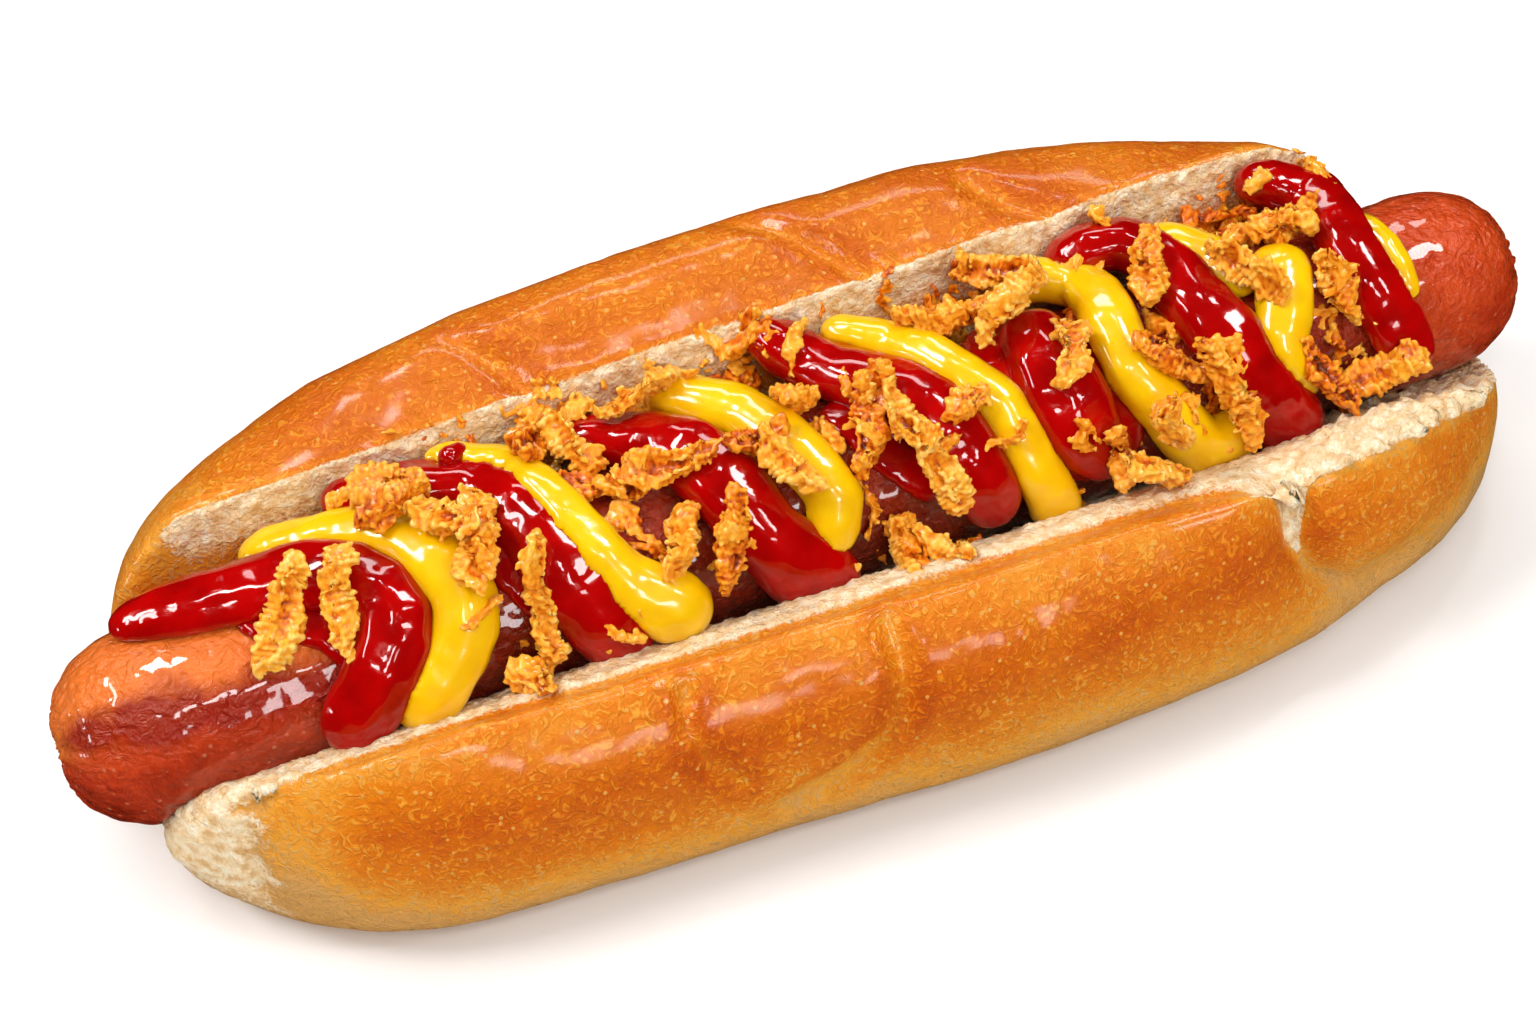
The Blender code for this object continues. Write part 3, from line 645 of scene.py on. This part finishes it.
def add_film(name, material, slot, patches, thickness, drops=()):
    """Thin sauce on the sausage: patches along paths of place (mm) and turn (degrees), with their reach (mm)."""
    ground = solid_ground()
    skin = bpy.data.objects["smoked_sausage"]
    film = new_piece(name, skin.data.copy())
    for attribute in ("tone_and_shading", "glaze"):
        film.data.attributes.remove(film.data.attributes[attribute])
    at = places(film) / MM
    girth = 12.0
    flat = np.stack([at[:, 0], girth * sausage_turn(at)], -1)
    inside = np.full(len(at), -9.0)
    for path, reach in patches:
        inside = np.maximum(inside, reach - path_distance(flat, [(x, girth * radians(turn)) for x, turn in path]))
    mesh = bmesh.new()
    mesh.from_mesh(film.data)
    mesh.verts.ensure_lookup_table()
    bare = [v for v in mesh.verts if inside[v.index] < 0]
    bmesh.ops.delete(mesh, geom=bare, context="VERTS")
    mesh.to_mesh(film.data)
    mesh.free()
    shape(film, "SOLIDIFY", thickness=thickness * 2, offset=0.0)
    mesh = bmesh.new()
    mesh.from_mesh(film.data)
    for x, y, radius in drops:
        place = Vector((x * MM, y * MM, drop(ground, x * MM, y * MM)))
        bmesh.ops.create_icosphere(mesh, subdivisions=2, radius=radius * MM, matrix=Matrix.Translation(place))
    mesh.to_mesh(film.data)
    mesh.free()
    shape(film, "REMESH", mode="VOXEL", voxel_size=0.4 * MM)
    smooth(film, 8)
    push(film, 0.25 * MM)
    complete(film, material, slot)
    return film


class HOTDOG_OT_ketchup(bpy.types.Operator):
    """Model the strokes of ketchup and the thin ketchup between them"""

    bl_idname = "hotdog.ketchup"
    bl_label = "Ketchup"

    def execute(self, context):
        material = tomato_ketchup()
        squeeze_strokes(context, KETCHUP_NODES, material, "tomato_ketchup")
        add_film("ketchup_film", material, "tomato_ketchup", KETCHUP_FILMS, 0.9 * MM, KETCHUP_DROPS)
        return {"FINISHED"}


class HOTDOG_OT_mustard(bpy.types.Operator):
    """Model the strokes of mustard"""

    bl_idname = "hotdog.mustard"
    bl_label = "Mustard"

    def execute(self, context):
        squeeze_strokes(context, MUSTARD_NODES, yellow_mustard(), "yellow_mustard")
        return {"FINISHED"}


def fried_batter():
    """Onion in batter, deep fried: frilly golden crisp with greasy glints; lighter on its crests as painted light,
    redder and darker in its hollows as painted shade.
    """
    made, tree, shader, place = new_material(
        "Fried onion batter", Subsurface_Weight=0.1, Subsurface_Scale=0.6 * MM, IOR=1.45, Coat_Weight=0.5,
        Coat_Roughness=0.06, Specular_Tint=linear("#ffb868"), Subsurface_Radius=(1.0, 0.5, 0.15)
    )
    crest_shading_and_tone = add_node(tree, "Attribute", attribute_name="crest_shading_and_tone").outputs["Fac"]
    blotch = add_node(tree, "TexNoise", {"Vector": place, "Scale": per(4), "Detail": 3.0}).outputs["Fac"]
    fine = add_node(tree, "TexNoise", {"Vector": place, "Scale": per(0.7), "Detail": 4.0}).outputs["Fac"]
    # Painted light and shade from the bumps' height and the groove, over the piece's own tone and blotches
    level = add_node(tree, "Math", {0: blotch, 1: 0.9, 2: crest_shading_and_tone}, operation="MULTIPLY_ADD").outputs[0]
    level = add_node(tree, "Math", {0: fine, 1: 0.4, 2: level}, operation="MULTIPLY_ADD").outputs[0]
    level = add_node(tree, "Math", {0: level, 1: 0.15}, operation="SUBTRACT").outputs[0]
    colour = add_node(tree, "ValToRGB", {"Fac": level}, stops=(
        (0.0, "#5c1502"), (1.0, "#ffcc66"), (0.16, "#a33404"), (0.32, "#d96408"), (0.5, "#f0921a"),
        (0.74, "#ffb438"),
    )).outputs["Color"]
    tree.links.new(colour, shader.inputs["Base Color"])
    shine = add_node(
        tree, "MapRange", {"Value": fine, "From Min": 0.35, "From Max": 0.65, "To Min": 0.22, "To Max": 0.5}
    ).outputs["Result"]
    tree.links.new(shine, shader.inputs["Roughness"])
    bump = add_node(tree, "Bump", {"Height": fine, "Strength": 0.9, "Distance": 0.3 * MM})
    tree.links.new(bump.outputs["Normal"], shader.inputs["Normal"])
    return made


def batter_material():
    """The one material of all the fried onion."""
    return bpy.data.materials.get("Fried onion batter") or fried_batter()


def add_lump(mesh, place, radius, flat, luck):
    """Adds a small uneven lump of batter."""
    turn = Matrix.Rotation(luck.uniform(0, pi), 4, Vector((luck.random(), luck.random(), 1)).normalized())
    scale = Matrix.Diagonal((radius, radius * luck.uniform(0.7, 1), radius * flat, 1))
    bmesh.ops.create_icosphere(mesh, subdivisions=1, radius=1, matrix=Matrix.Translation(place) @ turn @ scale)


def add_batter(mesh, luck, spacing):
    """Covers the surface of the mesh with lumps, one for each patch of this size."""
    faces = [(face.calc_area(), [v.co.copy() for v in face.verts[:3]]) for face in mesh.faces]
    for area, corners in faces:
        count = area / (spacing * spacing)
        for _ in range(int(count) + (luck.random() < count % 1)):
            a, b = sorted((luck.random(), luck.random()))
            place = corners[0] * a + corners[1] * (b - a) + corners[2] * (1 - b)
            add_lump(mesh, place, luck.uniform(0.3, 0.6) * MM, luck.uniform(0.7, 1), luck)


def fry(piece, grain, tone_and_shading, frill=None):
    """Turns the piece into crisp batter and keeps the height of its bumps for the material, as painted light on the
    crests and painted shade in the hollows and the groove.
    """
    shape(piece, "REMESH", mode="VOXEL", voxel_size=grain)
    curl = texture("CLOUDS", 6 * MM, cloud_type="COLOR")
    shape(piece, "DISPLACE", direction="RGB_TO_XYZ", texture=curl, strength=4.5 * MM, mid_level=0.5)
    hollow = frill(piece) if frill else 0
    push(piece, -0.5 * MM, None, texture("VORONOI", 0.8 * MM), 0.45)
    push(piece, 0.35 * MM, None, texture("CLOUDS", 0.6 * MM))
    rough = places(piece)
    shape(piece, "SMOOTH", factor=0.5, iterations=12)
    even = places(piece)
    normals = np.empty(len(rough) * 3, dtype=np.float32)
    piece.data.vertices.foreach_get("normal", normals)
    height = ((rough - even) * normals.reshape(-1, 3)).sum(-1)
    piece.data.vertices.foreach_set("co", rough.astype(np.float32).ravel())
    piece.data.update()
    # Painted light and shade: crests lighter, hollows and the pressed groove darker, added to the piece's own tone
    store(piece, "crest_shading_and_tone", np.clip(height / (0.25 * MM), -1, 1) * 0.3 + tone_and_shading - 0.15 * hollow)


class HOTDOG_OT_strips(bpy.types.Operator):
    """Model the fried onion strips"""

    bl_idname = "hotdog.strips"
    bl_label = "Fried onion strips"

    def execute(self, context):
        sizes = context.scene.hotdog_onion
        for number, node in enumerate(STRIP_NODES):
            luck = random.Random(sizes.seed * 100 + number)
            strip = take(node, node.replace("onion_strip", "fried_onion"))
            mesh = bmesh.new()
            mesh.from_mesh(strip.data)
            add_batter(mesh, luck, 1.8 * MM)
            mesh.to_mesh(strip.data)
            mesh.free()
            self.phase = luck.uniform(0, 6)
            fry(strip, sizes.grain, luck.choice((0.18, 0.14, 0.1, 0.04, -0.1)), self.frill)
            complete(strip, batter_material(), "fried_onion", node)
        return {"FINISHED"}

    def frill(self, strip):
        """Presses a groove along the top of a strip and notches its two raised edges."""
        at = places(strip) / MM
        at -= at.mean(axis=0)
        along, across, _ = (at @ np.linalg.svd(at, full_matrices=False)[2].T).T
        side = across - np.polyval(np.polyfit(along, across, 2), along)
        half = np.percentile(np.abs(side), 92)
        normals = np.empty(len(at) * 3, dtype=np.float32)
        strip.data.vertices.foreach_get("normal", normals)
        above = steps(normals.reshape(-1, 3)[:, 2], 0.0, 0.6)
        hollow = near(side, 0, 0.5 * half) * above * steps(np.abs(along).max() - np.abs(along), 0.5, 3.0)
        wave = 0.5 + 0.5 * np.sin(6.5 * along + self.phase + 2.5 * np.sin(1.3 * along) + 1.4 * side)
        patches = 0.5 + 0.5 * np.sin(1.1 * along + 2 * self.phase) * np.sin(0.7 * along - side)
        edge = steps(np.abs(side), 0.45 * half, 0.9 * half)
        push(strip, -0.8 * MM, hollow)
        push(strip, 0.5 * MM, edge * wave * patches)
        push(strip, 0.2 * MM, (1 - edge) * wave)
        return hollow


def solid_ground(names=None):
    """Search tree over these solids of the hot dog, or all of them."""
    points = []
    faces = []
    for node in (frame["nodes"][name] for name in names or frame["nodes"]):
        start = len(points)
        points.extend(v.co.copy() for v in node.data.vertices)
        faces.extend([start + index for index in polygon.vertices] for polygon in node.data.polygons)
    return BVHTree.FromPolygons(points, faces)


def drop(ground, x, y):
    """Height of the topmost solid here."""
    hit = ground.ray_cast(Vector((x, y, 0.1)), Vector((0, 0, -1)))[0]
    return hit.z if hit else 0.0


class HOTDOG_OT_bits(bpy.types.Operator):
    """Model the small bits of fried onion between the strips, and the ones deep in the gaps, made darker as painted
    shade
    """

    bl_idname = "hotdog.bits"
    bl_label = "Onion bits"

    def execute(self, context):
        sizes = context.scene.hotdog_onion
        luck = random.Random(sizes.seed)
        ground = solid_ground()
        mesh = bmesh.new()
        for x, y, turn, length, width in ONION_BITS:
            self.add_bit(mesh, ground, luck, Vector((x, y)) * MM, radians(turn), length * MM, width * MM)
        self.finish_bits("onion_bits", mesh, sizes, 0.06)
        dry = solid_ground(["bun", "sausage"])
        mesh = bmesh.new()
        for _ in range(sizes.bed):
            x = luck.uniform(-56, 68)
            y = luck.choice((10.5, 10.5, 8.0, luck.uniform(-12, 6), luck.uniform(-15, -11))) + 0.03 * x
            turn = luck.uniform(0, 2 * pi)
            size = Vector((luck.uniform(4, 8), luck.uniform(1.6, 2.6))) * MM
            middle = Vector((x, y + luck.gauss(0, 0.8))) * MM
            heap = luck.uniform(26, 34) * MM if y > 7 and x > -36 else 0.0
            if drop(ground, *middle) < max(drop(dry, *middle), heap) + 2.2 * MM:
                self.add_bit(mesh, dry, luck, middle, turn, *size, heap)
        # Painted shade: the bits deep in the gaps get a darker tone
        self.finish_bits("onion_bed", mesh, sizes, -0.2)
        return {"FINISHED"}

    def finish_bits(self, name, mesh, sizes, tone_and_shading):
        """Makes one crisp piece of all these lumps."""
        bits = new_piece(name, bpy.data.meshes.new(name))
        mesh.to_mesh(bits.data)
        mesh.free()
        fry(bits, sizes.grain * 1.1, tone_and_shading)
        complete(bits, batter_material(), "fried_onion")

    def add_bit(self, mesh, ground, luck, middle, turn, length, width, heap=0.0):
        """One bit: a chain of lumps along a bent line that lies on what is below, or on a heap this high."""
        bend = luck.uniform(-1.6, 1.6)
        count = max(int(length / (0.25 * width)), 4)
        for step in range(count + 1):
            share = step / count - 0.5
            heading = turn + bend * share
            place = middle + Vector((cos(heading), sin(heading))) * length * share
            size = width * 0.42 * (1 - 0.5 * abs(2 * share) ** 2)
            height = max(drop(ground, place.x, place.y), heap) + 0.45 * size
            centre = Vector((place.x, place.y, height))
            add_lump(mesh, centre, size, 0.8, luck)
            for _ in range(3):
                offset = Vector([luck.gauss(0, 0.75) for _ in range(3)]).normalized() * size
                add_lump(mesh, centre + offset, luck.uniform(0.3, 0.6) * MM, 0.9, luck)


class HOTDOG_OT_crumbs(bpy.types.Operator):
    """Scatter loose crumbs of batter"""

    bl_idname = "hotdog.crumbs"
    bl_label = "Batter crumbs"

    def execute(self, context):
        sizes = context.scene.hotdog_onion
        luck = random.Random(sizes.seed + 1)
        ground = solid_ground()
        dry = solid_ground(["bun", "sausage"])
        mesh = bmesh.new()
        for _ in range(sizes.crumbs):
            x = luck.uniform(-58, 74) * MM
            side = luck.choice((-16.5, -14.0, 9.5, 11.0))
            y = (side + luck.gauss(0, 1.6)) * MM
            if drop(ground, x, y) > drop(dry, x, y) + 0.1 * MM:
                continue
            for _ in range(3):
                place = Vector((x, y, drop(ground, x, y))) + Vector([luck.gauss(0, 0.35) * MM for _ in range(3)])
                add_lump(mesh, place, luck.uniform(0.3, 0.7) * MM, 0.8, luck)
        crumbs = new_piece("batter_crumbs", bpy.data.meshes.new("batter_crumbs"))
        mesh.to_mesh(crumbs.data)
        mesh.free()
        fry(crumbs, sizes.grain, -0.05)
        complete(crumbs, batter_material(), "fried_onion")
        return {"FINISHED"}


def pale_floor():
    """Matt white studio paper, smooth: nearly no gloss."""
    made, tree, shader, place = new_material("Matt studio paper", Roughness=0.8, Specular_IOR_Level=0.2)
    fleck = add_node(tree, "TexNoise", {"Vector": place, "Scale": per(40), "Detail": 2.0}).outputs["Fac"]
    colour = add_node(tree, "ValToRGB", {"Fac": fleck}, stops=((0.3, "#f6f5f3"), (0.7, "#faf9f8"))).outputs["Color"]
    tree.links.new(colour, shader.inputs["Base Color"])
    return made


class HOTDOG_OT_stage(bpy.types.Operator):
    """Set up the floor, the lights and the camera"""

    bl_idname = "hotdog.stage"
    bl_label = "Stage"

    # Lamps: name, place (m), size (m) and power (W)
    LAMPS = (
        ("key_left", (-0.45, 0.15, 0.65), (0.40, 0.08), 2.4),
        ("strip_back", (0.20, 0.60, 0.60), (0.5, 0.12), 2.0),
        ("glint_right", (0.35, -0.35, 0.60), (0.10, 0.10), 0.7),
        ("glint_left", (-0.20, -0.35, 0.70), (0.08, 0.08), 0.5),
        ("glint_top", (0.15, 0.20, 0.85), (0.08, 0.08), 0.5),
    )
    # Lamps that only give highlights: name, place (m), size (m) and power (W)
    SHEENS = (
        ("sheen_left", (-0.40, 0.30, 0.50), (0.25, 0.08), 2.0),
        ("sheen_high", (-0.14, 0.28, 0.66), (0.16, 0.09), 1.6),
        ("sheen_end", (-0.65, 0.05, 0.16), (0.12, 0.08), 0.6),
        ("sheen_front", (-0.04, -0.46, 0.62), (0.09, 0.09), 0.6),
        ("sheen_low", (0.10, -0.62, 0.46), (0.18, 0.10), 0.9),
        ("sheen_right", (0.36, 0.06, 0.60), (0.18, 0.16), 2.4),
    )
    # Even daylight without highlights: name, where it comes from, softness (degrees) and strength
    DAYLIGHT = (
        ("daylight_left", (-0.45, 0.15, 0.65), 15, 0.45),
        ("daylight_front", (0.20, -0.70, 0.50), 50, 1.05),
        ("daylight_top", (0.05, -0.10, 0.90), 60, 0.75),
    )
    AZIMUTH = -19.9
    ELEVATION = 52.0
    ROLL = -1.8
    DISTANCE = 0.3797
    AIM = Vector((-0.003475, 0.007764, 0.0085))

    def execute(self, context):
        sizes = context.scene.hotdog_stage
        activate_none()
        bpy.ops.mesh.primitive_plane_add(size=6)
        floor = context.active_object
        floor.name = "studio_floor"
        floor.data.materials.append(pale_floor())
        floor.visible_glossy = False
        for name, place, size, power in self.LAMPS + self.SHEENS:
            lamp = self.add_lamp("AREA", name, Vector(place), power * sizes.brightness)
            lamp.data.shape = "RECTANGLE"
            lamp.data.size, lamp.data.size_y = size
            lamp.visible_camera = False
            lamp.visible_diffuse = (name, place, size, power) in self.LAMPS
        for name, place, angle, strength in self.DAYLIGHT:
            lamp = self.add_lamp("SUN", name, Vector(place), strength * sizes.brightness)
            lamp.data.angle = radians(angle)
            lamp.visible_glossy = False
        world = bpy.data.worlds.new("studio")
        world.use_nodes = True
        world.node_tree.nodes["Background"].inputs["Color"].default_value = (1, 1, 1, 1)
        world.node_tree.nodes["Background"].inputs["Strength"].default_value = 0.2
        world.cycles_visibility.glossy = False
        context.scene.world = world
        context.scene.view_settings.view_transform = "Standard"
        self.add_camera(context, sizes.lens)
        return {"FINISHED"}

    def add_lamp(self, kind, name, place, power):
        """Lamp that shines at the hot dog."""
        bpy.ops.object.light_add(type=kind, location=place, rotation=(-place).to_track_quat("-Z", "Y").to_euler())
        lamp = bpy.context.active_object
        lamp.name = name
        lamp.data.energy = power
        return lamp

    def add_camera(self, context, lens):
        """Camera above the front left, tipped a little to its side."""
        a, e, r = (radians(angle) for angle in (self.AZIMUTH, self.ELEVATION, self.ROLL))
        back = Vector((sin(a) * cos(e), -cos(a) * cos(e), sin(e)))
        flat = Vector((cos(a), sin(a), 0))
        upright = back.cross(flat)
        right = flat * cos(r) + upright * sin(r)
        up = back.cross(right)
        turn = Matrix((right, up, back)).transposed()
        bpy.ops.object.camera_add(location=self.AIM + back * self.DISTANCE, rotation=turn.to_euler())
        camera = context.active_object
        camera.name = "studio_camera"
        camera.data.lens = lens
        camera.data.sensor_width = 36
        camera.data.clip_start = 0.01
        context.scene.camera = camera


def activate_none():
    """Leaves nothing selected."""
    bpy.ops.object.select_all(action="DESELECT")


class HOTDOG_PT_panel(bpy.types.Panel):
    """Buttons and settings of the hot dog"""

    bl_label = "Hot dog"
    bl_space_type = "VIEW_3D"
    bl_region_type = "UI"
    bl_category = "Hot dog"

    def draw(self, context):
        for operator in OPERATORS:
            self.layout.operator(operator.bl_idname)
        for name, group in SETTINGS.items():
            box = self.layout.box()
            for key in group.__annotations__:
                box.prop(getattr(context.scene, name), key)


OPERATORS = (
    HOTDOG_OT_roll, HOTDOG_OT_sausage, HOTDOG_OT_ketchup, HOTDOG_OT_mustard, HOTDOG_OT_strips, HOTDOG_OT_bits,
    HOTDOG_OT_crumbs, HOTDOG_OT_stage,
)
SETTINGS = {
    "hotdog_roll": RollSettings,
    "hotdog_sausage": SausageSettings,
    "hotdog_sauce": SauceSettings,
    "hotdog_onion": OnionSettings,
    "hotdog_stage": StageSettings,
}


def register():
    for group in SETTINGS.values():
        bpy.utils.register_class(group)
    for operator in OPERATORS:
        bpy.utils.register_class(operator)
    bpy.utils.register_class(HOTDOG_PT_panel)
    for name, group in SETTINGS.items():
        setattr(bpy.types.Scene, name, bpy.props.PointerProperty(type=group))


def unregister():
    for name in SETTINGS:
        delattr(bpy.types.Scene, name)
    bpy.utils.unregister_class(HOTDOG_PT_panel)
    for operator in reversed(OPERATORS):
        bpy.utils.unregister_class(operator)
    for group in SETTINGS.values():
        bpy.utils.unregister_class(group)


def main():
    register()
    bpy.ops.hotdog.roll()
    bpy.ops.hotdog.sausage()
    bpy.ops.hotdog.ketchup()
    bpy.ops.hotdog.mustard()
    bpy.ops.hotdog.strips()
    bpy.ops.hotdog.bits()
    bpy.ops.hotdog.crumbs()
    bpy.ops.hotdog.stage()


if __name__ == "__main__":
    main()
